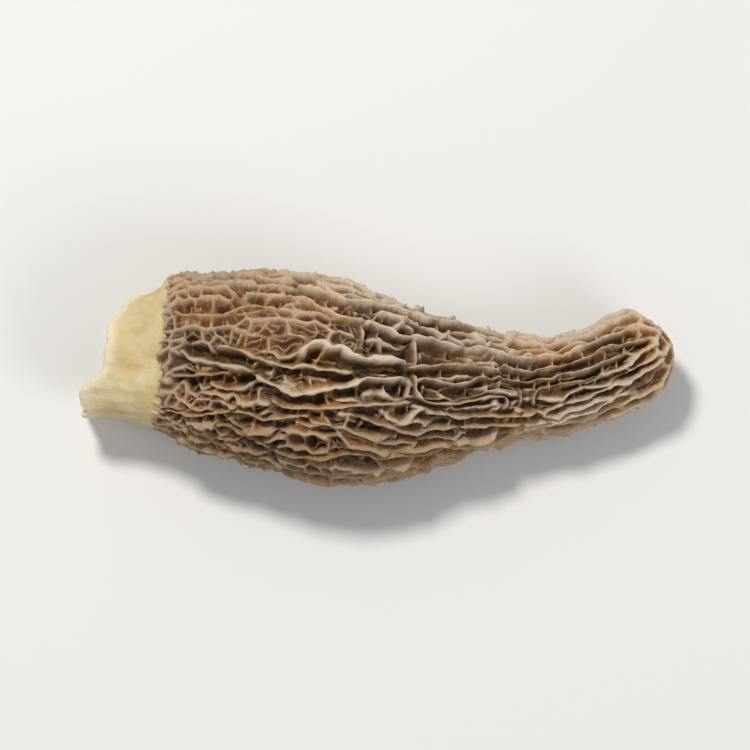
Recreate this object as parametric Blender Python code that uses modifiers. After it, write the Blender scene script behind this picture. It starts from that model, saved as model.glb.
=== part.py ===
"""A dried morel mushroom, lying on its side.

It is one grown piece: a hollow, ridged cap that runs without a joint into a
short hollow stem, cut off obliquely. The cap's wall carries lengthwise ridges
with lower cross ribs between them, which fence in the pits. The hollow opens
at the cut.

Units are metres, +Z is up. +X runs from the cut stem to the tip of the cap.
The origin is under the middle of the piece, on the surface it lies on.
"""

import math

import bmesh
import bpy
import numpy as np

# ---------------------------------------------------------------- dimensions
MM = 0.001

# Middle line, half width and half height of the piece, seen from above:
# (distance from the stem's end, sideways, half width, half height), in millimetres.
STATIONS = (
    (3.30, 2.45, 7.50, 5.95),
    (6.12, 2.31, 7.90, 6.35),
    (8.95, 2.07, 8.60, 7.05),
    (10.85, 1.95, 9.45, 7.65),
    (13.20, 1.75, 10.10, 8.20),
    (16.01, 1.41, 10.62, 8.65),
    (20.72, 0.75, 11.10, 9.10),
    (25.43, -0.19, 11.45, 9.25),
    (30.14, -1.04, 11.00, 9.00),
    (34.85, -1.60, 9.90, 8.40),
    (39.56, -1.84, 8.48, 7.55),
    (44.27, -1.79, 7.25, 6.65),
    (48.98, -1.55, 6.15, 5.80),
    (52.75, -1.13, 5.52, 5.25),
    (56.52, -0.28, 5.28, 4.95),
    (59.82, 0.94, 5.12, 4.80),
    (62.64, 2.36, 5.02, 4.70),
    (64.60, 3.53, 4.95, 4.65),
    (66.40, 4.70, 4.90, 4.60),
)
TIP_ROUND_MM = 5.6        # length over which the tip closes
JUNCTION_MM = 5.9         # along the middle line, where the cap meets the stem
STEM_CUT_SLOPE_MM = 3.2   # half of the difference between the stem's long and short side
STEM_STEP_MM = 0.35       # the stem is this much thinner than the cap's foot
STEM_WALL_MM = 1.25
CAP_WALL_MM = 2.5         # from the hollow to the ridges' crests
RIDGE_DEPTH_MM = 1.25     # pits under the crests
REST_FLAT_MM = 0.55       # how much of the underside is pressed flat

COLUMNS = 64              # mesh columns around, four to a ridge
RIDGES = COLUMNS // 4
CAP_ROWS = 44
STEM_ROWS = 4
HOLLOW_ROWS = 14
TIP_ROWS = 6


# -------------------------------------------------------------------- curves
def spline(at, values, wanted):
    """Natural cubic spline through values at `at`, read at `wanted`."""
    at, values = np.asarray(at, float), np.asarray(values, float)
    n = len(at)
    h = np.diff(at)
    a = np.zeros((n, n))
    b = np.zeros(n)
    a[0, 0] = a[-1, -1] = 1.0
    for i in range(1, n - 1):
        a[i, i - 1], a[i, i], a[i, i + 1] = h[i - 1], 2 * (h[i - 1] + h[i]), h[i]
        b[i] = 6 * ((values[i + 1] - values[i]) / h[i] - (values[i] - values[i - 1]) / h[i - 1])
    m = np.linalg.solve(a, b)
    w = np.asarray(wanted, float)
    i = np.clip(np.searchsorted(at, w) - 1, 0, n - 2)
    t0, t1 = w - at[i], at[i + 1] - w
    return (
        m[i] * t1**3 / (6 * h[i])
        + m[i + 1] * t0**3 / (6 * h[i])
        + (values[i] / h[i] - m[i] * h[i] / 6) * t1
        + (values[i + 1] / h[i] - m[i + 1] * h[i] / 6) * t0
    )


def smooth(lo, hi, x):
    t = np.clip((np.asarray(x, float) - lo) / (hi - lo), 0.0, 1.0)
    return t * t * (3 - 2 * t)


_X = [p[0] for p in STATIONS]
_Y = [p[1] for p in STATIONS]
_W = [p[2] for p in STATIONS]
_H = [p[3] for p in STATIONS]
_ALONG = np.concatenate([[0.0], np.cumsum(np.hypot(np.diff(_X), np.diff(_Y)))])
LENGTH_MM = float(_ALONG[-1])


def middle(s):
    """Point and sideways direction of the middle line at s, seen from above."""
    x, y = spline(_ALONG, _X, s), spline(_ALONG, _Y, s)
    e = 0.05
    dx = spline(_ALONG, _X, s + e) - spline(_ALONG, _X, s - e)
    dy = spline(_ALONG, _Y, s + e) - spline(_ALONG, _Y, s - e)
    size = np.hypot(dx, dy)
    return x, y, -dy / size, dx / size


def half_width(s):
    """Half width over the crests, closing to nothing at the tip."""
    w = spline(_ALONG, _W, s)
    t = np.clip((s - (LENGTH_MM - TIP_ROUND_MM)) / TIP_ROUND_MM, 0.0, 1.0)
    return w * np.sqrt(np.maximum(0.0, 1 - t**2.2))


def thickness_share(s):
    """Height of a section as a share of its width: the belly is a little flattened."""
    return spline(_ALONG, _H, s) / spline(_ALONG, _W, s)


def underside(s):
    """Height of the lowest line over the surface it lies on."""
    return 1.1 * (1 - smooth(2, 15, s)) + 0.8 * smooth(38, 54, s) + 1.5 * smooth(52, LENGTH_MM, s)


def cut(side, over):
    """Where the stem is cut, along the middle line, for a point at side (-1 to 1) and height over (-1 to 1)."""
    straight = STEM_CUT_SLOPE_MM * side
    bulge = -1.3 * np.exp(-(((side - 0.45) / 0.30) ** 2)) + 0.6 * np.exp(-(((side + 0.45) / 0.25) ** 2))
    corner = 2.3 * smooth(0.72, 1.0, side) - 0.6 * np.exp(-(((side + 0.68) / 0.16) ** 2))
    return -0.25 + straight + bulge + corner + 0.35 * over


# ------------------------------------------------------------------- profile
def profile():
    """Half of a lengthwise section: (station, radius share, kind), from the tip's outside to the hollow's end."""
    points = []
    cap_end = LENGTH_MM
    tip = [cap_end - TIP_ROUND_MM * (1 - math.sin(math.pi / 2 * k / TIP_ROWS)) for k in range(TIP_ROWS, 0, -1)]
    rest = np.linspace(cap_end - TIP_ROUND_MM, JUNCTION_MM, CAP_ROWS + 1)
    for s in tip:
        points.append((s, 0.0 if s == tip[0] else float(half_width(s)), "cap"))
    for s in rest:
        points.append((float(s), float(half_width(s)), "cap"))
    for k in range(1, STEM_ROWS + 1):
        points.append((JUNCTION_MM * (1 - k / STEM_ROWS), float(half_width(JUNCTION_MM)), "stem"))
    for k in range(HOLLOW_ROWS + 1):
        s = JUNCTION_MM * k / 3 if k <= 3 else JUNCTION_MM + (cap_end - 4.6 - JUNCTION_MM) * math.sin(
            math.pi / 2 * (k - 3) / (HOLLOW_ROWS - 3)
        )
        points.append((s, 0.0 if k == HOLLOW_ROWS else 1.0, "hollow"))
    return points


def hollow_share(s):
    """Half width of the hollow at s."""
    wall = STEM_WALL_MM + (CAP_WALL_MM - STEM_WALL_MM) * smooth(2, 11, s)
    end = LENGTH_MM - 4.6
    t = np.clip((s - (end - 12)) / 12, 0.0, 1.0)
    return (spline(_ALONG, _W, s) - wall) * np.sqrt(np.maximum(0.0, 1 - t**2))


# ---------------------------------------------------------------- the object
for old in list(bpy.data.objects):
    bpy.data.objects.remove(old, do_unlink=True)

collection = bpy.data.collections.new("dried_morel_mushroom")
bpy.context.scene.collection.children.link(collection)

# The blank is turned: each profile point keeps its row number as its height,
# so that the shaping below knows the row, and a radius of 1 off the axis.
rows = profile()
line = bpy.data.meshes.new("section")
line.from_pydata(
    [(1.0 if r > 0 else 0.0, 0.0, -float(i)) for i, (s, r, kind) in enumerate(rows)],
    [(i, i + 1) for i in range(len(rows) - 1)],
    [],
)
blank = bpy.data.objects.new("blank", line)
collection.objects.link(blank)
turn = blank.modifiers.new("turn", "SCREW")
turn.axis = "Z"
turn.angle = 2 * math.pi
turn.steps = turn.render_steps = COLUMNS
turn.use_merge_vertices = True
turn.merge_threshold = 0.0001
turn.use_smooth_shade = True
bpy.context.view_layer.update()
mesh = bpy.data.meshes.new_from_object(blank.evaluated_get(bpy.context.evaluated_depsgraph_get()))
bpy.data.objects.remove(blank, do_unlink=True)

count = len(mesh.vertices)
co = np.empty(count * 3)
mesh.vertices.foreach_get("co", co)
co = co.reshape(-1, 3)
row = np.clip(np.rint(-co[:, 2]).astype(int), 0, len(rows) - 1)
angle = np.arctan2(co[:, 1], co[:, 0])
s = np.array([rows[i][0] for i in row])
kind = np.array([rows[i][2] for i in row])
on_axis = np.hypot(co[:, 0], co[:, 1]) < 0.5

# Ridges follow the mesh columns. They wander a little around the cap, and
# cross ribs join neighbours at staggered heights.
column = np.rint(angle / (2 * math.pi) * COLUMNS).astype(int) % COLUMNS
crest = np.array([1.0, 0.4, 0.0, 0.4])[column % 4]
lane = column // 4
rib = np.array([0.75, 0.25, 0.0, 0.25])[(row + 2 * (lane % 2)) % 4]
ridge = np.maximum(crest, rib)
pits = RIDGE_DEPTH_MM * smooth(JUNCTION_MM - 0.3, JUNCTION_MM + 2.5, s) * (1 - 0.5 * smooth(LENGTH_MM - 5, LENGTH_MM, s))
facing_down = np.exp(-(((angle + math.pi / 2) / 0.30) ** 2))
depth = np.where(kind == "cap", pits * (1 - ridge) * (1 - facing_down), 0.0)

radius = half_width(s)
radius = np.where(kind == "stem", spline(_ALONG, _W, s) - STEM_STEP_MM * smooth(0.0, 1.5, JUNCTION_MM - s), radius)
radius = np.where(kind == "hollow", hollow_share(s), radius)
radius = np.where(on_axis, 0.0, radius)

# Shallow dents left by drying.
dents = (
    0.28 * np.sin(3 * angle + 0.16 * s + 0.7)
    + 0.22 * np.sin(2 * angle - 0.23 * s + 2.1)
    + 0.15 * np.sin(5 * angle + 0.31 * s)
)
share = np.where(on_axis, 0.0, np.clip(radius / 9.0, 0.0, 1.0))
radius_out = radius - depth + dents * share * np.where(kind == "hollow", 0.7, 1.0)
radius_out = np.where(on_axis, 0.0, radius_out)

twist = np.where(kind == "cap", 0.05 * np.sin(0.20 * s + 1.0) + 0.035 * np.sin(0.47 * s), 0.0)
around = angle + twist * (1 - facing_down)
side = radius_out * np.cos(around)
flat = thickness_share(s)
tall = spline(_ALONG, _H, s)
lift = underside(s) + tall - REST_FLAT_MM * smooth(8, 16, s) * (1 - smooth(40, 52, s))
up = radius_out * flat * np.sin(around)

# The stem's rows, and the hollow's rows inside it, slide onto the oblique cut.
unit = np.where(on_axis, 1.0, np.maximum(radius, 1e-6))
edge = cut(np.clip(side / unit, -1, 1), np.clip(up / (unit * flat), -1, 1))
in_stem = ((kind == "stem") | (kind == "hollow")) & (s < JUNCTION_MM) & ~on_axis
s = np.where(in_stem, JUNCTION_MM + (edge - JUNCTION_MM) * (1 - s / JUNCTION_MM), s)

x, y, nx, ny = middle(s)
place = np.stack([x + nx * side, y + ny * side, lift + up], axis=1)
place[:, 2] = np.where(kind == "hollow", place[:, 2], np.maximum(place[:, 2], 0.0))

low, high = place.min(0), place.max(0)
place -= [(low[0] + high[0]) / 2, (low[1] + high[1]) / 2, low[2]]
place *= MM
mesh.vertices.foreach_set("co", place.ravel())
mesh.update()

tidy = bmesh.new()
tidy.from_mesh(mesh)
bmesh.ops.remove_doubles(tidy, verts=tidy.verts, dist=0.00001)
bmesh.ops.recalc_face_normals(tidy, faces=tidy.faces)
tidy.to_mesh(mesh)
tidy.free()
mesh.name = "dried_morel"
mesh.shade_smooth()

morel = bpy.data.objects.new("dried_morel", mesh)
collection.objects.link(morel)

skin = bpy.data.materials.new("dried_flesh")
skin.use_nodes = True
shader = skin.node_tree.nodes["Principled BSDF"]
shader.inputs["Base Color"].default_value = (0.130, 0.083, 0.049, 1.0)
shader.inputs["Roughness"].default_value = 0.85
shader.inputs["Metallic"].default_value = 0.0
mesh.materials.clear()
mesh.materials.append(skin)
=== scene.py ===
import math
import time

import bpy
import numpy as np
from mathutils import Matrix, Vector


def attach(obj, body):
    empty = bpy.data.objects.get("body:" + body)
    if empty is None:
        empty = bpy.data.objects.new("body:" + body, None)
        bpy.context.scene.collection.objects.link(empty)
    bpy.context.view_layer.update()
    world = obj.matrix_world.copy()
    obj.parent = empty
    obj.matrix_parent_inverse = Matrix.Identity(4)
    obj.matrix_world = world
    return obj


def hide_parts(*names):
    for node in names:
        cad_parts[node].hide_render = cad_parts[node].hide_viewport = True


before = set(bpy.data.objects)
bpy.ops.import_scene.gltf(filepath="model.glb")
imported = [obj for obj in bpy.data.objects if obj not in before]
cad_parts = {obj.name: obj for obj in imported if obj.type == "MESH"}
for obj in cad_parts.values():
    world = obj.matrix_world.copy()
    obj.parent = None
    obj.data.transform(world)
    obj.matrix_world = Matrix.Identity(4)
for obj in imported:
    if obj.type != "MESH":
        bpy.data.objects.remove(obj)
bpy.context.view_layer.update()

NODE = "dried_morel"
MM = 0.001

# ============================================================ base shape
# The same middle line, widths and heights as the CAD solid, in millimetres:
# (distance from the stem's end, sideways, half width, half height).
STATIONS = (
    (3.30, 2.45, 7.50, 5.95), (6.12, 2.31, 7.90, 6.35), (8.95, 2.07, 8.60, 7.05),
    (10.85, 1.95, 9.45, 7.65), (13.20, 1.75, 10.10, 8.20), (16.01, 1.41, 10.62, 8.65),
    (20.72, 0.75, 11.10, 9.10), (25.43, -0.19, 11.45, 9.25), (30.14, -1.04, 11.00, 9.00),
    (34.85, -1.60, 9.90, 8.40), (39.56, -1.84, 8.48, 7.55), (44.27, -1.79, 7.25, 6.65),
    (48.98, -1.55, 6.15, 5.80), (52.75, -1.13, 5.52, 5.25), (56.52, -0.28, 5.28, 4.95),
    (59.82, 0.94, 5.12, 4.80), (62.64, 2.36, 5.02, 4.70), (64.60, 3.53, 4.95, 4.65),
    (66.40, 4.70, 4.90, 4.60),
)
SHIFT_MM = (33.2029, -0.1292)   # from the stations' frame to the row frame
TIP_ROUND_MM = 5.6
JUNCTION_MM = 5.9
STEM_CUT_SLOPE_MM = 3.2
STEM_WALL_MM = 1.25
CAP_WALL_MM = 2.5
REST_FLAT_MM = 0.55

PIT_MM = 1.65                   # depth of the pits under the crests
STEM_STEP_MM = 0.32             # the stem is this much thinner than the cap's first crests
FOOT_MM = JUNCTION_MM - 0.45    # along the middle line, where the cap's rows of points end


def smooth(lo, hi, x):
    t = np.clip((np.asarray(x, float) - lo) / (hi - lo), 0.0, 1.0)
    return t * t * (3 - 2 * t)


class Spline:
    """Natural cubic spline."""

    def __init__(self, at, values):
        at, values = np.asarray(at, float), np.asarray(values, float)
        n = len(at)
        h = np.diff(at)
        a = np.zeros((n, n))
        b = np.zeros(n)
        a[0, 0] = a[-1, -1] = 1.0
        for i in range(1, n - 1):
            a[i, i - 1], a[i, i], a[i, i + 1] = h[i - 1], 2 * (h[i - 1] + h[i]), h[i]
            b[i] = 6 * ((values[i + 1] - values[i]) / h[i] - (values[i] - values[i - 1]) / h[i - 1])
        self.at, self.values, self.h, self.m = at, values, h, np.linalg.solve(a, b)

    def __call__(self, wanted):
        w = np.asarray(wanted, float)
        i = np.clip(np.searchsorted(self.at, w) - 1, 0, len(self.at) - 2)
        t0, t1, h, m, v = w - self.at[i], self.at[i + 1] - w, self.h[i], self.m, self.values
        return (
            m[i] * t1**3 / (6 * h) + m[i + 1] * t0**3 / (6 * h)
            + (v[i] / h - m[i] * h / 6) * t1 + (v[i + 1] / h - m[i + 1] * h / 6) * t0
        )


_X = [p[0] for p in STATIONS]
_Y = [p[1] for p in STATIONS]
ALONG = np.concatenate([[0.0], np.cumsum(np.hypot(np.diff(_X), np.diff(_Y)))])
LENGTH_MM = float(ALONG[-1])
mid_x, mid_y = Spline(ALONG, _X), Spline(ALONG, _Y)
wide = Spline(ALONG, [p[2] for p in STATIONS])
tall = Spline(ALONG, [p[3] for p in STATIONS])


def middle(s):
    e = 0.05
    dx, dy = mid_x(s + e) - mid_x(s - e), mid_y(s + e) - mid_y(s - e)
    size = np.hypot(dx, dy)
    return mid_x(s), mid_y(s), -dy / size, dx / size


def closing(s):
    t = np.clip((s - (LENGTH_MM - TIP_ROUND_MM)) / TIP_ROUND_MM, 0.0, 1.0)
    return np.sqrt(np.maximum(0.0, 1 - t**2.2))


def underside(s):
    return 1.1 * (1 - smooth(2, 15, s)) + 0.8 * smooth(38, 54, s) + 1.5 * smooth(52, LENGTH_MM, s)


def lift(s):
    return underside(s) + tall(s) - REST_FLAT_MM * smooth(8, 16, s) * (1 - smooth(40, 52, s))


def cut(side, over):
    straight = STEM_CUT_SLOPE_MM * side
    bulge = -1.3 * np.exp(-(((side - 0.45) / 0.30) ** 2)) + 0.6 * np.exp(-(((side + 0.45) / 0.25) ** 2))
    corner = 2.3 * smooth(0.72, 1.0, side) - 0.6 * np.exp(-(((side + 0.68) / 0.16) ** 2))
    return -0.25 + straight + bulge + corner + 0.35 * over


def dents(a, s):
    return (
        0.28 * np.sin(3 * a + 0.16 * s + 0.7)
        + 0.22 * np.sin(2 * a - 0.23 * s + 2.1)
        + 0.15 * np.sin(5 * a + 0.31 * s)
    )


def place(s, a, radius, up_share=None):
    """Point of the row frame, in mm, at s along, angle a round and radius from the middle line."""
    x, y, nx, ny = middle(s)
    side = radius * np.cos(a)
    up = radius * (tall(s) / wide(s)) * np.sin(a)
    return np.stack([x + nx * side - SHIFT_MM[0], y + ny * side - SHIFT_MM[1], lift(s) + up], axis=-1)


# ================================================================= noise
def hashed(x, y, z, seed):
    """A number from 0 to 1 for each triple of whole numbers."""
    h = x.astype(np.uint32) * np.uint32(0x9E3779B1) + y.astype(np.uint32) * np.uint32(0x85EBCA77)
    h = h + z.astype(np.uint32) * np.uint32(0xC2B2AE3D) + np.uint32(seed * 0x27D4EB2F & 0xFFFFFFFF)
    h = (h ^ (h >> np.uint32(15))) * np.uint32(0x2C1B3C6D)
    h = (h ^ (h >> np.uint32(12))) * np.uint32(0x297A2D39)
    return ((h ^ (h >> np.uint32(15))) & np.uint32(0xFFFFFF)).astype(np.float32) / np.float32(0xFFFFFF)


def noise(p, size, seed):
    """Smooth noise from -1 to 1, with features of about size (mm), at points p."""
    q = (np.asarray(p) / size + 137.0 + seed * 1.7).astype(np.float32)
    f = np.floor(q)
    t = q - f
    t = t * t * t * (t * (t * 6 - 15) + 10)
    i = f.astype(np.int32)
    out = 0.0
    for cx in (0, 1):
        wx = t[..., 0] if cx else 1 - t[..., 0]
        for cy in (0, 1):
            wy = t[..., 1] if cy else 1 - t[..., 1]
            for cz in (0, 1):
                wz = t[..., 2] if cz else 1 - t[..., 2]
                out = out + wx * wy * wz * hashed(i[..., 0] + cx, i[..., 1] + cy, i[..., 2] + cz, seed)
    return 2 * out - 1


def layered(p, size, seed, times=3, fall=0.5):
    out, weight, total = 0.0, 1.0, 0.0
    for k in range(times):
        out = out + weight * noise(p, size / 2**k, seed + 11 * k)
        total += weight
        weight *= fall
    return out / total


# ========================================================== ridge network
# Pits are cells round seed points, in lanes that run from the stem to the tip.
# Distances along the cap are pressed together by a stretch that changes with s,
# so the cells are long: nearly round by the stem, drawn out further on.
_s_fine = np.linspace(0, LENGTH_MM + 2, 600)
_stretch = 1.2 + 0.60 * smooth(12, 20, _s_fine) + 1.0 * smooth(28, 40, _s_fine)
_pressed = np.concatenate([[0.0], np.cumsum(np.diff(_s_fine) / (0.5 * (_stretch[1:] + _stretch[:-1])))])


def pressed(s):
    return np.interp(s, _s_fine, _pressed)


def stretch(s):
    return np.interp(s, _s_fine, _stretch)


def embed(a, s):
    w, h = wide(s) * np.maximum(closing(s), 0.02), tall(s) * np.maximum(closing(s), 0.02)
    return np.stack([w * np.cos(a), h * np.sin(a), pressed(s)], axis=-1)


ZONES = (
    # from, to, lanes round, step along, jitter across (lanes), jitter along
    (JUNCTION_MM - 1.0, 15.5, 38, 1.55, 0.30, 0.45),
    (15.5, 33.0, 36, 2.7, 0.17, 0.55),
    (33.0, 44.5, 32, 4.1, 0.13, 0.50),
    (44.5, 55.0, 26, 4.3, 0.12, 0.50),
    (55.0, LENGTH_MM + 0.5, 22, 3.2, 0.14, 0.45),
)


def make_seeds():
    rng = np.random.default_rng(20)
    seeds, lanes = [], []
    for z, (lo, hi, count, step, across, along) in enumerate(ZONES):
        for k in range(count):
            a0 = 2 * math.pi * (k + 0.5) / count
            edge = 1.8 * math.sin(2 * a0 + z) + 1.3 * math.sin(5 * a0 + 2 * z)
            s = lo + (edge if z else 0) + step * rng.uniform(0.1, 0.9)
            end = hi + (1.8 * math.sin(2 * a0 + z + 1) + 1.3 * math.sin(5 * a0 + 2 * z + 2) if z < len(ZONES) - 1 else 0)
            while s < end:
                a = a0 + rng.normal(0, across) * 2 * math.pi / count * 0.8
                close = LENGTH_MM - s
                if close < 1.6 or (close < 2.6 and k % 2):
                    s += 0.5
                    continue
                seeds.append((a, s))
                lanes.append(100 * z + k)
                if rng.random() < 0.10:      # a small cell beside
                    seeds.append((a + rng.choice((-1, 1)) * 0.42 * 2 * math.pi / count, s + rng.uniform(-0.3, 0.3) * step))
                    lanes.append(100 * z + k)
                s += step * (1 + along * rng.uniform(-1, 1))
    # Round cells on the end of the tip, at three distances from its middle.
    for away, count in ((0.35, 1), (1.75, 5), (3.05, 8)):
        share = (1 - (away / float(wide(LENGTH_MM))) ** 2) ** (1 / 2.2)
        for k in range(count):
            a = 2 * math.pi * (k + 0.5 * rng.random()) / count + away
            seeds.append((a % (2 * math.pi), LENGTH_MM - TIP_ROUND_MM * (1 - share) - 0.15 * rng.random()))
            lanes.append(900 + count + k)
    return np.array(seeds), np.array(lanes)


def nearest(points, seeds, order, keep, reach):
    """Indices and squared distances of the seeds nearest to points[i], for points sorted roughly along z."""
    n = len(points)
    index = np.empty((n, keep), np.int64)
    gap = np.empty((n, keep))
    block = 6000
    for b in range(0, n, block):
        q = points[b : b + block]
        near = np.where((seeds[:, 2] > q[:, 2].min() - reach) & (seeds[:, 2] < q[:, 2].max() + reach))[0]
        if len(near) <= keep:
            near = np.arange(len(seeds))
        p = seeds[near]
        d = (q**2).sum(1)[:, None] + (p**2).sum(1)[None] - 2 * q @ p.T
        i = np.argpartition(d, keep - 1, axis=1)[:, :keep]
        dd = np.take_along_axis(d, i, 1)
        o = np.argsort(dd, axis=1)
        index[b : b + block] = near[np.take_along_axis(i, o, 1)]
        gap[b : b + block] = np.take_along_axis(dd, o, 1)
    return index, gap


def walls(a, s, seeds, lanes, salt, wide_main, wide_rib, keep=5):
    """Height (0 to 1) of the walls between cells at (a, s), and how far the nearest wall is, in mm."""
    q = embed(a, s)
    p = embed(seeds[:, 0], seeds[:, 1])
    index, gap = nearest(q, p, None, keep, 6.0)
    st = stretch(s)
    first = index[:, 0]
    height = np.zeros(len(q))
    line = np.zeros(len(q))
    away = np.full(len(q), 9.0)
    proud = np.zeros(len(q))
    for j in range(1, keep):
        other = index[:, j]
        d = p[other] - p[first]
        size = np.sqrt((d**2).sum(1)) + 1e-9
        e = (gap[:, j] - gap[:, 0]) / (2 * size)
        n = d / size[:, None]
        across = n[:, 0] ** 2 + n[:, 1] ** 2
        slope = np.sqrt(across + (n[:, 2] / st) ** 2)
        e = e / slope
        sideways = smooth(0.25, 0.80, across / slope**2)
        lo, hi = np.minimum(first, other), np.maximum(first, other)
        r1 = hashed(lo, hi, lo * 0 + 3, salt)
        r2 = hashed(lo, hi, lo * 0 + 8, salt)
        la, lb = np.minimum(lanes[first], lanes[other]), np.maximum(lanes[first], lanes[other])
        r3 = hashed(la, lb, la * 0 + 5, salt)
        main = 0.84 + 0.26 * (r3 - 0.35) + 0.10 * (r1 - 0.5)
        rib = 0.48 + 0.47 * r1
        h = rib + (main - rib) * sideways
        h = np.where(r2 < 0.07, h * 0.35, h)
        w = wide_rib + (wide_main * (0.80 + 0.5 * r3) - wide_rib) * sideways
        wall = h / (1 + (np.maximum(e, 0) / w) ** 2.8)
        line = np.maximum(line, (0.40 + 0.60 * h) * smooth(0.1, 0.3, h) / (1 + (np.maximum(e, 0) / (0.98 * w)) ** 3.4))
        proud = np.where(wall > height, np.clip(r3 * sideways, 0, 1), proud)
        height = np.maximum(height, wall) + 0.12 * np.minimum(height, wall)
        away = np.minimum(away, e)
        if j == 1:
            ra, rb = (hashed(v, v * 0 + 1, v * 0 + 2, salt) for v in (first, other))
            deepness = ra + (rb - ra) * 0.5 * np.exp(-np.maximum(e, 0) / 0.25)
    return np.clip(height, 0, 1.15), away, proud, deepness, line


# Long crests that stand out, measured on the upper side: height, half width (mm), how pale,
# side of the open gap beside it (1 down, -1 up, 0 none), its depth (mm), and points (x, y) in
# the stations' frame as the main camera sees them.
CRESTS = (
    (1.22, 0.50, 1.0, 1, 1.7, ((25.0, 1.6), (25.9, 2.8), (27.3, 3.2), (28.7, 2.5), (29.7, 3.0), (30.6, 1.9), (32.0, 1.6), (33.9, 1.8), (35.8, 1.9), (37.2, 1.3))),
    (0.98, 0.3, 0.45, 1, 1.2, ((36.7, 1.2), (38.6, 1.1), (41.0, 1.4), (43.3, 1.2), (45.7, 1.0), (47.1, 0.8))),
    (1.10, 0.36, 0.7, -1, 1.0, ((11.3, 2.5), (12.7, 1.8), (14.6, 1.3), (16.5, 0.8), (18.4, 0.4), (20.3, -0.1))),
    (1.02, 0.3, 0.6, 1, 1.4, ((15.5, 2.9), (17.0, 2.7), (18.8, 2.4), (20.3, 1.8), (21.7, 1.1), (23.5, 0.9), (25.9, 0.8), (28.7, 0.4), (31.6, 0.2))),
    (1.0, 0.28, 0.55, -1, 1.5, ((14.6, -0.8), (15.5, -1.4), (17.4, -1.9), (19.3, -1.7), (21.2, -1.0))),
    (1.12, 0.40, 0.75, 1, 1.2, ((19.3, -0.2), (22.1, -1.5), (25.4, -2.4), (28.7, -1.7), (32.5, -0.7), (37.2, -0.8))),
    (1.02, 0.3, 0.6, 1, 0.9, ((37.7, -0.6), (39.6, -0.4), (41.4, -0.8), (43.3, -1.1), (45.2, -0.2), (47.1, 0.1), (49.5, -0.2), (51.8, -0.3), (54.2, 0.4), (56.5, 0.8), (58.9, 1.5), (61.2, 2.2))),
    (1.0, 0.3, 0.55, -1, 1.1, ((23.1, 8.9), (25.0, 8.5), (26.8, 7.6), (28.7, 6.6), (30.6, 5.8), (32.5, 5.9))),
    (1.04, 0.32, 0.7, 1, 1.0, ((24.5, 10.1), (26.8, 9.5), (29.2, 8.5), (32.0, 7.9), (34.9, 7.4), (37.2, 6.5), (39.6, 5.8), (42.4, 5.6), (45.2, 5.2), (48.0, 4.5))),
    (1.06, 0.34, 0.75, 1, 0.8, ((32.0, 5.7), (34.4, 5.0), (36.7, 4.1), (39.1, 4.1), (41.4, 3.4), (43.8, 3.1), (45.7, 3.2), (47.6, 2.4), (49.5, 2.0), (51.3, 2.1), (53.2, 2.6), (55.6, 3.2), (57.9, 4.1), (60.3, 5.1), (62.6, 5.7))),
    (1.05, 0.34, 0.75, 0, 0.0, ((32.0, 5.7), (32.1, 4.5), (32.0, 2.6))),
    (1.0, 0.28, 0.55, 1, 0.8, ((47.1, 1.2), (49.5, 0.8), (51.8, 0.8), (54.2, 1.6), (56.5, 2.5), (58.9, 3.2), (61.2, 3.8), (64.1, 4.2))),
    (1.0, 0.28, 0.5, 0, 0.0, ((37.9, 0.7), (38.0, -0.9), (38.2, -2.4), (39.3, -3.3), (41.4, -3.4), (43.8, -3.0), (46.2, -2.4), (47.8, -2.3), (48.3, -3.1), (47.3, -4.0))),
    (0.98, 0.28, 0.45, 1, 0.7, ((37.8, 4.3), (37.9, 2.6), (37.9, 0.7))),
    (0.98, 0.26, 0.45, 1, 0.8, ((9.4, -4.2), (11.3, -4.8), (13.7, -5.2), (16.0, -4.6), (18.4, -4.5), (20.7, -5.2), (23.5, -5.0), (26.4, -4.8))),
    (0.96, 0.26, 0.4, 1, 0.8, ((15.1, -6.4), (17.4, -6.7), (19.3, -7.3), (20.7, -8.0), (22.6, -8.9), (25.4, -9.4), (28.3, -9.2), (30.6, -8.7), (33.0, -9.2), (36.3, -9.0), (39.1, -8.9), (41.9, -8.0))),
    (0.98, 0.28, 0.5, 1, 0.9, ((31.6, -4.9), (33.9, -5.5), (36.3, -6.3), (38.2, -6.6), (40.0, -6.0), (42.4, -5.6), (44.7, -5.4), (47.6, -5.8), (50.4, -5.7))),
    (1.0, 0.28, 0.55, 1, 0.7, ((38.6, -4.1), (41.0, -4.4), (42.9, -4.7), (44.7, -4.3), (47.1, -4.5), (49.5, -4.5), (51.8, -4.0))),
    (0.96, 0.26, 0.4, 0, 0.0, ((49.5, -0.7), (49.7, -2.1), (49.5, -3.5))),
    (0.96, 0.26, 0.4, 1, 0.6, ((51.1, -3.5), (51.0, -1.9), (51.8, -0.9), (53.7, -0.8), (56.0, -0.3), (58.4, 0.2))),
    (0.96, 0.26, 0.45, 1, 0.8, ((9.9, -0.1), (11.8, -0.3), (13.7, -0.1), (15.5, -0.1), (17.4, 0.1))),
    (0.95, 0.26, 0.4, 1, 0.7, ((21.7, -3.1), (24.0, -3.7), (26.4, -4.1), (29.2, -3.9), (32.0, -3.5), (34.9, -3.6), (37.7, -3.1))),
    (0.95, 0.26, 0.35, -1, 0.7, ((10.4, 7.3), (11.8, 6.5), (13.7, 6.3), (15.5, 6.2), (17.4, 6.6), (18.8, 7.7), (20.7, 7.8), (23.1, 7.0))),
)
_SIN, _COS = math.sin(math.radians(80)), math.cos(math.radians(80))
_line_s = np.linspace(0, LENGTH_MM, 900)
_line_x, _line_y, _line_nx, _line_ny = middle(_line_s)


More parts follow.
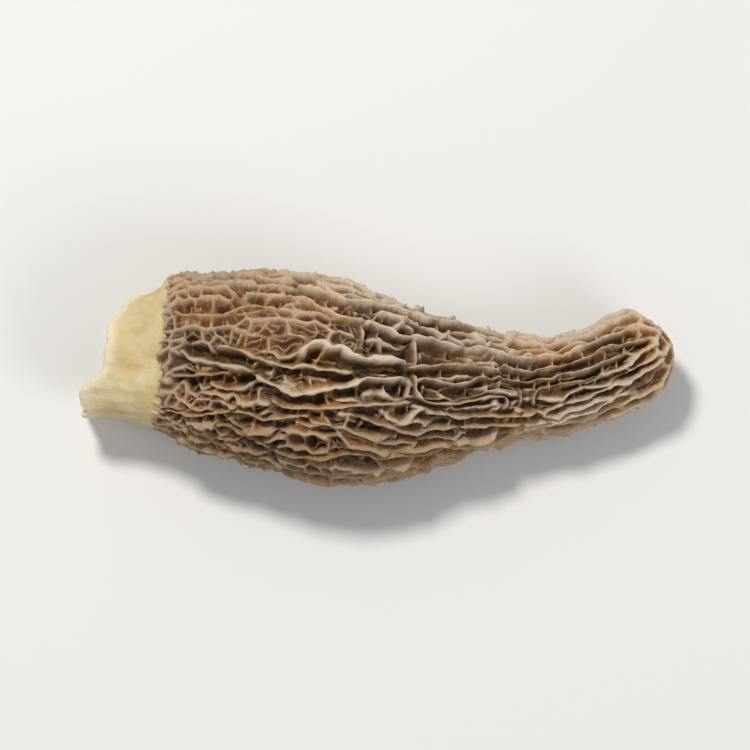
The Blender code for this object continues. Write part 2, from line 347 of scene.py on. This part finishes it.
def on_cap(x, y):
    """(s, a) of the upper surface where the main camera sees the point (x, y)."""
    i = np.argmin((_line_x - x) ** 2 + (_line_y - y) ** 2)
    s = float(_line_s[i])
    d = (x - _line_x[i]) * _line_nx[i] + (y - _line_y[i]) * _line_ny[i]
    w, h = float(wide(s)) * _SIN, float(tall(s)) * _COS
    return s, math.atan2(h, w) + math.acos(float(np.clip(d / math.hypot(w, h), -0.985, 0.985)))


def rounded(points):
    """The same path with its corners cut twice."""
    for _ in range(2):
        out = [points[0]]
        for p, q in zip(points[:-1], points[1:]):
            out += [0.75 * p + 0.25 * q, 0.25 * p + 0.75 * q]
        points = out + [points[-1]]
    return np.array(points)


def long_crests(S, A, wiggle):
    """Crest height, gap depth and paleness from the CRESTS at each (s, a)."""
    height, gap, pale, near, rungs = (np.zeros(S.shape) for _ in range(5))
    W = np.maximum(wide(S), 3.0)
    for number, (tall_, half, pale_, side, deep, points) in enumerate(CRESTS):
        path = rounded([np.array(on_cap(x, y)) for x, y in points])
        lo, hi = path.min(0), path.max(0)
        box = np.where((S > lo[0] - 1.5) & (S < hi[0] + 1.5) & (A > lo[1] - 0.4) & (A < hi[1] + 0.4))
        s, a, w, wig = S[box], A[box], W[box], wiggle[box]
        half = half * (1 - 0.30 * smooth(33, 43, s))
        best, signed, at = np.full(len(s), 9.0), np.zeros(len(s)), np.zeros(len(s))
        for k in range(len(path) - 1):
            (s0, a0), (s1, a1) = path[k], path[k + 1]
            ux, uy = s1 - s0, (a1 - a0) * w
            px, py = s - s0, (a - a0) * w + wig
            t = np.clip((px * ux + py * uy) / (ux * ux + uy * uy), 0, 1)
            dx, dy = px - t * ux, py - t * uy
            d = np.hypot(dx, dy)
            less = d < best
            best = np.where(less, d, best)
            signed = np.where(less, np.sign(ux * py - uy * px), signed)
            at = np.where(less, (k + t) / (len(path) - 1), at)
        size = np.hypot(np.diff(path[:, 0]), np.diff(path[:, 1]) * 9).sum()
        ends = smooth(0, 1.5, at * size) * smooth(0, 1.5, (1 - at) * size)
        uneven = 1 + 0.26 * np.sin(at * size * 1.9 + 7 * deep + tall_) + 0.12 * np.sin(at * size * 4.3 + 3)
        wall = tall_ * (1 - 0.10 * smooth(33, 43, s)) * (0.88 + 0.12 * uneven) / (1 + (best / (half * uneven)) ** 3.2)
        height[box] = np.maximum(height[box], wall * (0.35 + 0.65 * ends))
        hollow = np.exp(-(((best * signed * side - half - 0.55) / 0.50) ** 2)) * ends * deep * abs(side)
        # Thin cross walls stand in the gap at uneven distances, some of them missing.
        u = at * size / 1.55 + 0.30 * np.sin(at * size * 0.8 + number) + 0.10 * best
        which = np.floor(u).astype(int)
        luck = hashed(which, which * 0 + number, which * 0 + 4, 71)
        rung = np.exp(-(((u - which - 0.5 - 0.3 * (luck - 0.5)) * 1.55 / 0.21) ** 2)) * smooth(0.25, 0.55, luck) * abs(side)
        rung = rung * np.exp(-(((best * signed * side - half - 0.60) / 0.75) ** 4)) * ends
        hollow = hollow * (1 - 0.75 * rung)
        rungs[box] = np.maximum(rungs[box], rung * (0.55 + 0.4 * luck))
        gap[box] = np.maximum(gap[box], hollow * np.clip(0.45 + 0.75 * uneven * 0.8, 0, 1.2))
        light = pale_ * (0.75 + 0.25 * uneven) / (1 + (best / (0.85 * half * uneven)) ** 4)
        pale[box] = np.maximum(pale[box], light * (0.2 + 0.8 * ends))
        near[box] = np.maximum(near[box], np.exp(-((best / (half + 0.35)) ** 4)) * ends)
    return height, gap, pale, near, rungs


# ================================================================ surface
COLUMNS = 640
STEP = 0.08
FACES = 196_000


def resample(points, step):
    """The s values of points step apart along a profile of (s, radius) points."""
    d = np.concatenate([[0.0], np.cumsum(np.hypot(np.diff(points[:, 0]), np.diff(points[:, 1])))])
    n = max(2, int(round(d[-1] / step)) + 1)
    t = np.linspace(0, d[-1], n)
    return np.interp(t, d, points[:, 0])


def cap_rows():
    s = np.concatenate([LENGTH_MM - TIP_ROUND_MM * (1 - np.sin(np.linspace(math.pi / 2, 0, 120))), np.linspace(LENGTH_MM - TIP_ROUND_MM, FOOT_MM, 200)[1:]])
    r = wide(s) * closing(s)
    return resample(np.stack([s, r], 1), STEP)


def flesh_wall(s):
    """Flesh from the crests to the hollow, in mm."""
    return STEM_WALL_MM + (CAP_WALL_MM - STEM_WALL_MM) * smooth(2, 11, s)


def build():
    rows = cap_rows()
    a = np.linspace(0, 2 * math.pi, COLUMNS, endpoint=False)
    S, A = np.meshgrid(rows, a, indexing="ij")
    shape = S.shape

    # Envelope over the crests.
    radius = wide(S) * closing(S)
    share = np.clip(radius / 9.0, 0, 1)
    envelope = radius + dents(A, S) * share
    base = place(S, A, envelope)
    flat = base.reshape(-1, 3)

    # Wandering of the ridges: the lookup point moves about.
    wander_a = 0.95 * noise(flat, 11.0, 1) + 0.52 * noise(flat, 4.2, 2) + 0.44 * noise(flat, 2.0, 3) + 0.20 * noise(flat, 1.0, 4)
    wander_s = 0.9 * noise(flat, 8.0, 5) + 0.50 * noise(flat, 2.6, 6) + 0.22 * noise(flat, 1.1, 7)
    wander_s = wander_s * smooth(LENGTH_MM - 0.1, LENGTH_MM - 3.0, S.ravel())
    calm = smooth(LENGTH_MM + 0.5, LENGTH_MM - 4, S.ravel())
    ring = np.maximum(wide(S.ravel()) * closing(S.ravel()), 1.5)
    qa = A.ravel() + wander_a * calm / ring
    qs = S.ravel() + wander_s

    seeds, lanes = make_seeds()
    height, _, proud, deepness, line = walls(qa, qs, seeds, lanes, 5, 0.285, 0.225)

    # Finer ribs inside the pits.
    rng = np.random.default_rng(4)
    many = 3400
    fine_s = rng.uniform(JUNCTION_MM - 1, LENGTH_MM, many)
    keep = rng.random(many) < wide(fine_s) / 11.5
    fine = np.stack([rng.uniform(0, 2 * math.pi, many), fine_s], 1)[keep]
    small, _, _, _, small_line = walls(qa + 0.5 * noise(flat, 1.1, 9) / ring, qs, fine, np.zeros(len(fine), int), 9, 0.19, 0.19, keep=4)

    height, proud, small, deepness, line, small_line = (v.reshape(shape) for v in (height, proud, small, deepness, line, small_line))
    wiggle = (0.16 * noise(flat, 1.3, 61) + 0.10 * noise(flat, 0.6, 62)).reshape(shape)
    tall_crest, gap, pale, near, rungs = long_crests(S, A, wiggle)
    height = np.maximum(height * (1 - 0.45 * near) * (1 - 0.35 * np.clip(gap, 0, 1)), np.clip(tall_crest, 0, 1.15))
    line = line * (1 - 0.45 * near) * (1 - 0.45 * np.clip(gap, 0, 1))
    height = np.maximum(height, 0.80 * rungs)
    line = np.maximum(line, 0.78 * rungs**2)
    line = np.maximum(line, np.clip(tall_crest, 0, 1) ** 2 * (0.55 + 0.4 * pale))
    proud = np.maximum(proud * 0.55, np.clip(pale, 0, 1) * 1.0)
    small = small * (1 - 0.6 * near)
    n_mid = noise(flat, 6.5, 21).reshape(shape)
    n_crest = layered(flat, 2.2, 22, 2).reshape(shape)
    n_tiny = noise(flat, 0.55, 23).reshape(shape)

    # Pit depth: shallower at the stem, the tip and in a golden patch near the stem on the upper side.
    up_angle = np.angle(np.exp(1j * (A - math.radians(68))))
    patch = np.exp(-(((S - 15.5) / 5.5) ** 2) - ((up_angle / 0.34) ** 2))
    depth = PIT_MM * (0.62 + 0.45 * deepness + 0.18 * n_mid) * (1 - 0.45 * patch)
    depth = depth * (0.38 + 0.62 * smooth(JUNCTION_MM, JUNCTION_MM + 4.0, S)) * (1 - 0.35 * smooth(LENGTH_MM - 8, LENGTH_MM, S))

    bed = 1 - np.clip(height, 0, 1)
    rise = np.clip(height, 0, 1.15) + (0.40 + 0.22 * (1 - smooth(26, 36, S))) * small * bed**1.2
    crest_rise = 0.26 * n_crest * height**2 + 0.05 * n_tiny * height + 0.45 * proud * height**2
    crest_rise = crest_rise + 0.035 * noise(flat, 0.42, 24).reshape(shape)
    down = depth * (1 - rise) - crest_rise * smooth(JUNCTION_MM, JUNCTION_MM + 3.0, S)

    # Wider swells and folds that came with drying.
    fold = 0.42 * noise(flat, 7.0, 31).reshape(shape) + 0.22 * noise(flat, 3.2, 32).reshape(shape)
    down = down + gap
    down = down + fold * smooth(JUNCTION_MM, JUNCTION_MM + 4, S) * share

    # The first crests stand a little over the stem, with an uneven fringe.
    foot = FOOT_MM + 0.70 + 0.36 * noise(flat, 1.4, 35).reshape(shape) + 0.30 * noise(flat, 5.0, 36).reshape(shape)
    foot = foot + 0.20 * noise(flat, 0.7, 37).reshape(shape)
    foot = foot - (0.50 + 0.25 * noise(flat, 2.3, 38).reshape(shape)) * np.clip(height, 0, 1) ** 1.5
    ledge = smooth(foot + 0.28, foot - 0.22, S)
    # However deep a gap is, some flesh stays between it and the hollow.
    pit = down / PIT_MM
    limit = flesh_wall(S) - 0.62
    soft = 0.65 * limit
    down = np.where(down > soft, soft + (limit - soft) * (1 - np.exp(-(down - soft) / (limit - soft))), down)
    down = down * (1 - ledge) + STEM_STEP_MM * ledge

    # Numerical normals of the envelope.
    along = np.gradient(base, axis=0)
    around = np.roll(base, -1, axis=1) - np.roll(base, 1, axis=1)
    normal = np.cross(around, along)
    normal /= np.linalg.norm(normal, axis=-1, keepdims=True) + 1e-12
    out = np.sign((normal * (base - place(S, A, envelope * 0.5))).sum(-1).mean())
    normal *= out
    tangent = around / (np.linalg.norm(around, axis=-1, keepdims=True) + 1e-12)

    lean = (0.32 * noise(flat, 5.0, 41) + 0.26 * noise(flat, 1.8, 42)).reshape(shape) * np.clip(height, 0, 1) ** 1.5
    lean = lean * smooth(LENGTH_MM, LENGTH_MM - 5, S) * smooth(JUNCTION_MM, JUNCTION_MM + 1.5, S)
    cap = base - normal * (down * np.clip(share * 2.2, 0, 1))[..., None] + tangent * lean[..., None]
    cap[0] = cap[0].mean(0)

    crest = np.clip(height, 0, 1)
    colour = {
        "crest": crest,
        "pit": np.clip(pit * (1 - ledge), 0, 2.4),
        "patch": patch,
        "stem": smooth(0.35, 0.75, ledge),
        "line": np.clip(np.maximum(line, (0.56 + 0.16 * (1 - smooth(26, 36, S))) * small_line * bed * (1 - 0.8 * np.clip(gap, 0, 1))), 0, 1) * (1 - ledge),
        "deep": deepness,
        "inside": np.zeros(shape),
        "rim": np.zeros(shape),
        "small": small * bed,
        "proud": proud * crest,
    }

    return {"a": a, "S": S, "cap": cap, "colour": colour}


def hollow_radius(s):
    wall = flesh_wall(s)
    end = LENGTH_MM - 4.6
    t = np.clip((s - (end - 12)) / 12, 0.0, 1.0)
    return (wide(s) - wall) * np.sqrt(np.maximum(0.0, 1 - t**2))


def stem_part(a):
    """Rows of points from the cap's foot over the rim into the hollow, with their colours."""
    J = FOOT_MM
    n_out = 60
    n_rim = 9
    n_in = 44
    n_deep = 60

    def cut_at(A):
        c, d = np.cos(A), np.sin(A)
        uneven = 0.12 * np.sin(7 * A + 1.0) + 0.08 * np.sin(13 * A + 2.0) + 0.04 * np.sin(29 * A)
        return cut(c, d) + uneven + 1.0 * smooth(-0.74, -0.98, c)

    points, kinds = [], []
    A = np.asarray(a)
    edge = cut_at(A)
    wrinkle = 0.06 * np.sin(9 * A + 0.5) + 0.05 * np.sin(17 * A + 2.2) + 0.035 * np.sin(31 * A + 1.1)
    for k in range(1, n_out + 1):
        t = k / n_out
        s = J + (edge - J) * t
        flare = 0.25 * smooth(0.72, 1.0, t)
        share = np.clip(wide(J * (1 - t)) / 9.0, 0, 1)
        r = wide(J * (1 - t)) + dents(A, J * (1 - t)) * share - STEM_STEP_MM + flare + wrinkle * smooth(0.0, 0.3, t) * (0.6 + 0.8 * math.sin(2.6 * t + 0.4))
        points.append((s, r, "out", t))
    wall = STEM_WALL_MM * (0.72 + 0.18 * np.sin(3 * A + 1) + 0.10 * np.sin(8 * A))
    last_r = points[-1][1]
    for k in range(1, n_rim + 1):
        t = k / (n_rim + 1)
        s = edge - 0.26 * math.sin(math.pi * t) * (1 + 0.3 * np.sin(11 * A))
        r = last_r - wall * (0.5 - 0.5 * math.cos(math.pi * t))
        points.append((s, r, "rim", t))
    inner_r = last_r - wall
    for k in range(0, n_in + 1):
        t = k / n_in
        s = edge + (J - edge) * t
        r = inner_r * (1 - smooth(0, 1, t)) + (hollow_radius(J) + dents(A, J) * 0.6) * smooth(0, 1, t) + 0.10 * np.sin(6 * A + 3 * t) * (1 - t)
        points.append((s, r, "in", t))
    end = LENGTH_MM - 4.6
    for k in range(1, n_deep + 1):
        t = k / n_deep
        s = J + (end - J) * math.sin(math.pi / 2 * t) + 0 * A
        r = hollow_radius(s) + dents(A, s) * 0.6 * np.clip(hollow_radius(s) / 9, 0, 1)
        points.append((s, r, "deep", t))
    return points


def make_mesh():
    g = build()
    a, cap, colour = g["a"], g["cap"], g["colour"]
    grid = [cap]
    tints = {k: [v] for k, v in colour.items()}
    rows = stem_part(a)
    extra, info = [], []
    for s, r, kind, t in rows:
        if kind == "deep" and t >= 1.0:
            r = r * 0
        extra.append(place(s, a, r))
        info.append((kind, t))
    extra = np.array(extra)
    flat = extra.reshape(-1, 3)
    shape = extra.shape[:2]
    kinds = np.array([{"out": 0, "rim": 1, "in": 2, "deep": 3}[k] for k, t in info])
    ts = np.array([t for k, t in info])
    # Fine wrinkles and grains.
    along = np.gradient(extra, axis=0)
    around = np.roll(extra, -1, axis=1) - np.roll(extra, 1, axis=1)
    normal = np.cross(around, along)
    normal /= np.linalg.norm(normal, axis=-1, keepdims=True) + 1e-12
    grain = (0.05 * noise(flat, 0.9, 51) + 0.035 * noise(flat * [0.35, 1, 1], 0.45, 52) + 0.09 * noise(flat, 2.6, 53)).reshape(shape)
    amount = np.where(kinds == 3, 1.6, 1.0)[:, None] * np.where((kinds == 3) & (ts > 0.93), 0.0, 1.0)[:, None]
    extra = extra + normal * (grain * amount)[..., None]
    extra[-1] = extra[-1].mean(0)
    grid.append(extra)
    zeros = np.zeros(shape)
    tints["crest"].append(zeros)
    tints["pit"].append(zeros)
    tints["patch"].append(zeros)
    tints["small"].append(zeros)
    tints["proud"].append(zeros)
    tints["line"].append(zeros)
    tints["deep"].append(zeros)
    tints["stem"].append(np.where(kinds < 2, 1.0, 0.0)[:, None] + zeros)
    tints["inside"].append((np.where(kinds == 3, 1.0, 0.0) + np.where(kinds == 2, smooth(0.0, 0.9, ts), 0.0))[:, None] + zeros)
    tints["rim"].append((np.where(kinds == 1, 1.0, 0.0) + np.where(kinds == 0, smooth(0.80, 1.0, ts), 0.0) + np.where(kinds == 2, 1 - smooth(0.0, 0.25, ts), 0.0))[:, None] + zeros)
    P = np.concatenate(grid, 0)
    tints = {k: np.concatenate(v, 0) for k, v in tints.items()}
    P[..., 2] = np.maximum(P[..., 2], 0.0)
    return P, tints, a


def grid_mesh(P, tints):
    """One closed mesh from the rows, whose first and last row are single points."""
    rows, cols = P.shape[:2]
    body = P[1:-1].reshape(-1, 3)
    co = np.concatenate([P[0, :1], body, P[-1, :1]]) * MM
    n = rows - 2
    i = np.arange(n - 1)[:, None] * cols + np.arange(cols)[None] + 1
    j = np.arange(n - 1)[:, None] * cols + (np.arange(cols)[None] + 1) % cols + 1
    quads = np.stack([i, i + cols, j + cols, j], axis=-1).reshape(-1, 4)
    first = np.arange(cols) + 1
    top = np.stack([np.zeros(cols, int), first, np.roll(first, -1)], 1)
    last = (n - 1) * cols + np.arange(cols) + 1
    bottom = np.stack([np.full(cols, len(co) - 1), np.roll(last, -1), last], 1)
    loops = np.concatenate([quads.ravel(), top.ravel(), bottom.ravel()])
    sizes = np.concatenate([np.full(len(quads), 4), np.full(2 * cols, 3)])
    starts = np.concatenate([[0], np.cumsum(sizes)[:-1]])
    mesh = bpy.data.meshes.new("morel_dense")
    mesh.vertices.add(len(co))
    mesh.vertices.foreach_set("co", co.ravel())
    mesh.loops.add(len(loops))
    mesh.loops.foreach_set("vertex_index", loops)
    mesh.polygons.add(len(sizes))
    mesh.polygons.foreach_set("loop_start", starts)
    mesh.polygons.foreach_set("loop_total", sizes)
    mesh.update(calc_edges=True)
    mesh.validate()
    for name, value in tints.items():
        flat = np.concatenate([value[0, :1], value[1:-1].ravel(), value[-1, :1]])
        layer = mesh.attributes.new(name, "FLOAT", "POINT")
        layer.data.foreach_set("value", flat.astype(np.float32))
    return mesh


t0 = time.time()
P, tints, angles = make_mesh()
# Where a point lies round and along, for the unwrap.
rows, cols = P.shape[:2]
steps = np.median(np.linalg.norm(np.diff(P, axis=0), axis=2), axis=1).clip(0.03, 0.3)
steps = steps * np.where(tints["inside"][1:, 0] > 0.95, 0.25, 1.0)   # the hollow needs little room
arc = np.concatenate([[0.0], np.cumsum(steps)])
tints["wrap_v"] = (arc / arc[-1])[:, None] + np.zeros((rows, cols))
tints["wrap_c"] = np.cos(angles)[None] + np.zeros((rows, cols))
tints["wrap_s"] = np.sin(angles)[None] + np.zeros((rows, cols))
print("grid", P.shape, round(time.time() - t0, 1), "s")
dense = grid_mesh(P, tints)
print("dense mesh", len(dense.vertices), round(time.time() - t0, 1), "s")
holder = bpy.data.objects.new("morel_dense", dense)
bpy.context.scene.collection.objects.link(holder)
thin = holder.modifiers.new("thin", "DECIMATE")
triangles = 2 * len(dense.vertices) - 4
thin.ratio = FACES / triangles
bpy.context.view_layer.update()
mesh = bpy.data.meshes.new_from_object(holder.evaluated_get(bpy.context.evaluated_depsgraph_get()))
bpy.data.objects.remove(holder, do_unlink=True)
bpy.data.meshes.remove(dense)
mesh.name = "morel_flesh"
mesh.shade_smooth()
print("thinned", len(mesh.vertices), len(mesh.polygons), round(time.time() - t0, 1), "s")


def unwrap(mesh):
    n = len(mesh.vertices)
    c, s, v = (np.empty(n, np.float32) for _ in range(3))
    for name, store in (("wrap_c", c), ("wrap_s", s), ("wrap_v", v)):
        mesh.attributes[name].data.foreach_get("value", store)
    turn = (np.arctan2(s, c) / (2 * math.pi)) % 1.0
    loop_v = np.empty(len(mesh.loops), np.int32)
    mesh.loops.foreach_get("vertex_index", loop_v)
    start = np.empty(len(mesh.polygons), np.int32)
    total = np.empty(len(mesh.polygons), np.int32)
    mesh.polygons.foreach_get("loop_start", start)
    mesh.polygons.foreach_get("loop_total", total)
    face = np.repeat(np.arange(len(start)), total)
    u = turn[loop_v]
    high = np.zeros(len(start)); np.maximum.at(high, face, u)
    low = np.ones(len(start)); np.minimum.at(low, face, u)
    u = np.where((high - low > 0.5)[face] & (u < 0.5), u + 1, u)
    layer = mesh.uv_layers.new(name="OFBake")
    uv = np.stack([(0.01 + 0.97 * u).clip(0, 0.995), 0.01 + 0.98 * v[loop_v]], 1)
    layer.data.foreach_set("uv", uv.ravel().astype(np.float32))
    for name in ("wrap_c", "wrap_s", "wrap_v"):
        mesh.attributes.remove(mesh.attributes[name])


unwrap(mesh)
morel = bpy.data.objects.new("morel_flesh", mesh)
bpy.context.scene.collection.objects.link(morel)
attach(morel, "root")
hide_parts(NODE)


# ============================================================== materials
class Nodes:
    """Short calls that add nodes to a tree and link them."""

    def __init__(self, tree):
        self.tree = tree

    def add(self, kind, ins=None, **props):
        n = self.tree.nodes.new(kind)
        for k, v in props.items():
            setattr(n, k, v)
        for k, v in (ins or {}).items():
            if isinstance(v, bpy.types.NodeSocket):
                self.tree.links.new(v, n.inputs[k])
            else:
                n.inputs[k].default_value = v
        return n

    def attr(self, name):
        return self.add("ShaderNodeAttribute", attribute_name=name, attribute_type="GEOMETRY").outputs["Fac"]

    def math(self, op, a, b=0.0, c=0.0, clamp=False):
        n = self.add("ShaderNodeMath", {0: a, 1: b, 2: c}, operation=op, use_clamp=clamp)
        return n.outputs[0]

    def noise(self, vector, scale, detail=3.0, rough=0.5, distort=0.0):
        n = self.add("ShaderNodeTexNoise", {"Vector": vector, "Scale": scale, "Detail": detail, "Roughness": rough, "Distortion": distort})
        return n.outputs["Fac"]

    def ramp(self, fac, stops):
        n = self.add("ShaderNodeValToRGB", {"Fac": fac})
        r = n.color_ramp
        while len(r.elements) > 1:
            r.elements.remove(r.elements[-1])
        r.elements[0].position, r.elements[0].color = stops[0][0], (*stops[0][1], 1)
        for pos, col in stops[1:]:
            e = r.elements.new(pos)
            e.color = (*col, 1)
        return n.outputs["Color"]

    def mix(self, fac, a, b, mode="MIX"):
        n = self.add("ShaderNodeMix", data_type="RGBA", blend_type=mode, clamp_factor=True)
        for key, v in ((0, fac), (6, a), (7, b)):
            if isinstance(v, bpy.types.NodeSocket):
                self.tree.links.new(v, n.inputs[key])
            else:
                n.inputs[key].default_value = v if key == 0 else (*v, 1)
        return n.outputs[2]

    def range(self, v, a, b, c=0.0, d=1.0, smooth_=False):
        n = self.add("ShaderNodeMapRange", {"Value": v, "From Min": a, "From Max": b, "To Min": c, "To Max": d})
        if smooth_:
            n.interpolation_type = "SMOOTHSTEP"
        return n.outputs["Result"]


def flesh():
    mat = bpy.data.materials.new("dried_flesh")
    mat.use_nodes = True
    tree = mat.node_tree
    N = Nodes(tree)
    shader = tree.nodes["Principled BSDF"]
    where = N.add("ShaderNodeTexCoord").outputs["Object"]

    crest, pit, patch = N.attr("crest"), N.attr("pit"), N.attr("patch")
    stem, inside, rim = N.attr("stem"), N.attr("inside"), N.attr("rim")
    proud, small = N.attr("proud"), N.attr("small")

    broad = N.noise(where, 110, 2.0, 0.5)      # about 9 mm
    mid = N.noise(where, 420, 3.0, 0.55)       # about 2.4 mm
    fine = N.noise(where, 2100, 4.0, 0.6)      # under 0.5 mm
    dust = N.noise(where, 5200, 3.0, 0.6)

    # Pits and walls, from the floor up, then the pale edge along each crest.
    wobble = N.math("ADD", N.math("MULTIPLY", N.math("SUBTRACT", fine, 0.5), 0.45), N.math("MULTIPLY", N.math("SUBTRACT", mid, 0.5), 0.35))
    level = N.math("ADD", N.math("ADD", crest, wobble), N.math("MULTIPLY", small, 0.14), clamp=True)
    warm = N.ramp(level, (
        (0.00, (0.076, 0.032, 0.011)),
        (0.18, (0.128, 0.054, 0.019)),
        (0.40, (0.235, 0.112, 0.043)),
        (0.70, (0.318, 0.176, 0.080)),
        (1.00, (0.430, 0.285, 0.162)),
    ))
    cool = N.ramp(level, (
        (0.00, (0.056, 0.027, 0.011)),
        (0.18, (0.082, 0.044, 0.021)),
        (0.40, (0.138, 0.080, 0.042)),
        (0.70, (0.212, 0.135, 0.080)),
        (1.00, (0.345, 0.252, 0.170)),
    ))
    tone = N.range(N.math("ADD", broad, N.math("MULTIPLY", N.math("SUBTRACT", N.attr("deep"), 0.5), -0.16)), 0.40, 0.62, smooth_=True)
    cap = N.mix(tone, cool, warm)
    gold = N.ramp(level, (
        (0.0, (0.110, 0.050, 0.016)),
        (0.25, (0.210, 0.108, 0.038)),
        (0.6, (0.370, 0.212, 0.084)),
        (1.0, (0.540, 0.370, 0.185)),
    ))
    cap = N.mix(N.math("MULTIPLY", patch, 0.75), cap, gold)
    edge = N.math("ADD", N.attr("line"), N.math("MULTIPLY", wobble, 0.55))
    pale = N.mix(N.range(broad, 0.40, 0.60), (0.428, 0.350, 0.270), (0.458, 0.346, 0.232))
    pale = N.mix(N.math("MULTIPLY", proud, 1.1, clamp=True), pale, (0.535, 0.462, 0.366))
    cap = N.mix(N.range(edge, 0.42, 0.86), cap, pale)
    # Random dust tones times painted shade: lighter on shallow crests, darker in the deeper pits, as if shadowed.
    dust_and_shade = N.math("MULTIPLY", N.range(dust, 0.30, 0.72, 0.80, 1.14), N.math("MULTIPLY", N.range(pit, 0.22, 0.95, 1.19, 0.67), N.range(pit, 1.15, 1.90, 1.0, 0.85)))
    # Painted shade: the flank on the minus Y side and the end near the stem are darkened, as if turned from the light.
    at = N.add("ShaderNodeSeparateXYZ", {"Vector": where}).outputs
    shade = N.math("MULTIPLY", N.range(at["X"], -0.017, -0.003, 0.80, 1.0, smooth_=True), N.range(at["Y"], -0.0100, -0.0040, 0.66, 1.0, smooth_=True))
    dust_and_shade = N.math("MULTIPLY", dust_and_shade, shade)
    # The painted shade is tinted warmer in the deeper pits and on the darkened flank.
    green = N.math("MULTIPLY", N.math("MULTIPLY", dust_and_shade, N.range(pit, 0.20, 1.10, 0.960, 0.925)), N.range(shade, 0.62, 1.0, 0.87, 1.0))
    blue = N.math("MULTIPLY", N.math("MULTIPLY", dust_and_shade, N.range(pit, 0.20, 1.10, 0.925, 0.740)), N.range(shade, 0.62, 1.0, 0.72, 1.0))
    cap = N.mix(1.0, cap, N.add("ShaderNodeCombineColor", {"Red": dust_and_shade, "Green": green, "Blue": blue}).outputs[0], "MULTIPLY")

    # Stem.
    cream = N.ramp(N.noise(where, 300, 4.0, 0.6), (
        (0.25, (0.450, 0.325, 0.145)),
        (0.50, (0.570, 0.455, 0.240)),
        (0.75, (0.660, 0.565, 0.355)),
    ))
    stain = N.range(N.noise(where, 190, 3.0, 0.6, 0.4), 0.50, 0.66, 0.0, 0.55, smooth_=True)
    cream = N.mix(stain, cream, (0.590, 0.420, 0.165))
    cream = N.mix(N.math("MULTIPLY", rim, 0.7), cream, (0.80, 0.71, 0.52))
    cream = N.mix(N.range(fine, 0.55, 0.80, 0.0, 0.35), cream, (0.52, 0.37, 0.18))
    hollow = N.ramp(N.noise(where, 500, 4.0, 0.6), (
        (0.25, (0.150, 0.080, 0.030)),
        (0.50, (0.330, 0.200, 0.090)),
        (0.78, (0.560, 0.400, 0.210)),
    ))
    colour = N.mix(stem, cap, cream)
    colour = N.mix(inside, colour, hollow)
    tree.links.new(colour, shader.inputs["Base Color"])

    rough = N.range(level, 0.0, 1.0, 0.62, 0.86)
    tree.links.new(rough, shader.inputs["Roughness"])
    shader.inputs["Specular IOR Level"].default_value = 0.35
    shader.inputs["Metallic"].default_value = 0.0

    grain = N.math("ADD", N.math("MULTIPLY", fine, 0.7), N.math("MULTIPLY", dust, 0.3))
    bump = N.add("ShaderNodeBump", {"Strength": 0.55, "Distance": 0.00022, "Height": grain})
    tree.links.new(bump.outputs["Normal"], shader.inputs["Normal"])
    return mat


mesh.materials.clear()
mesh.materials.append(flesh())


# ================================================= floor, light and camera
def plain(name, colour, rough):
    mat = bpy.data.materials.new(name)
    mat.use_nodes = True
    s = mat.node_tree.nodes["Principled BSDF"]
    s.inputs["Base Color"].default_value = (*colour, 1)
    s.inputs["Roughness"].default_value = rough
    return mat


floor_mesh = bpy.data.meshes.new("floor")
floor_mesh.from_pydata([(-1.5, -1.5, 0), (1.5, -1.5, 0), (1.5, 1.5, 0), (-1.5, 1.5, 0)], [], [(0, 1, 2, 3)])
floor = bpy.data.objects.new("floor", floor_mesh)
bpy.context.scene.collection.objects.link(floor)
floor.location.z = -0.0001
floor_mesh.materials.append(plain("floor", (0.74, 0.735, 0.72), 0.7))

world = bpy.data.worlds.new("studio")
bpy.context.scene.world = world
world.use_nodes = True
world.node_tree.nodes["Background"].inputs["Color"].default_value = (0.97, 0.98, 1.0, 1)
world.node_tree.nodes["Background"].inputs["Strength"].default_value = 0.37


def lamp(name, at, size, power, colour=(1, 1, 1)):
    data = bpy.data.lights.new(name, "AREA")
    data.shape = "DISK"
    data.size = size
    data.energy = power
    data.color = colour
    ob = bpy.data.objects.new(name, data)
    bpy.context.scene.collection.objects.link(ob)
    ob.location = at
    ob.rotation_euler = (-Vector(at)).to_track_quat("-Z", "Y").to_euler()
    return ob


lamp("key", (-0.15, 0.22, 0.49), 0.11, 2.3, (1.0, 0.97, 0.92))
lamp("fill", (0.36, -0.30, 0.36), 0.30, 1.0, (0.95, 0.97, 1.0))

ELEVATION = math.radians(80)
DISTANCE = 0.55
cam_data = bpy.data.cameras.new("camera")
cam_data.lens = 200
cam_data.sensor_width = 36
cam_data.clip_start = 0.01
cam_data.clip_end = 10
cam = bpy.data.objects.new("camera", cam_data)
bpy.context.scene.collection.objects.link(cam)
target = Vector((0.0, 0.0, 0.008))
cam.location = target + DISTANCE * Vector((0, -math.cos(ELEVATION), math.sin(ELEVATION)))
cam.rotation_euler = (target - cam.location).to_track_quat("-Z", "Y").to_euler()
half = 0.034 / 0.80
cam_data.lens = cam_data.sensor_width * DISTANCE / (2 * half)
bpy.context.scene.camera = cam

view = bpy.context.scene.view_settings
view.view_transform = "Standard"
view.look = "None"

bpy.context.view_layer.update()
print("built in", round(time.time() - t0, 1), "s")
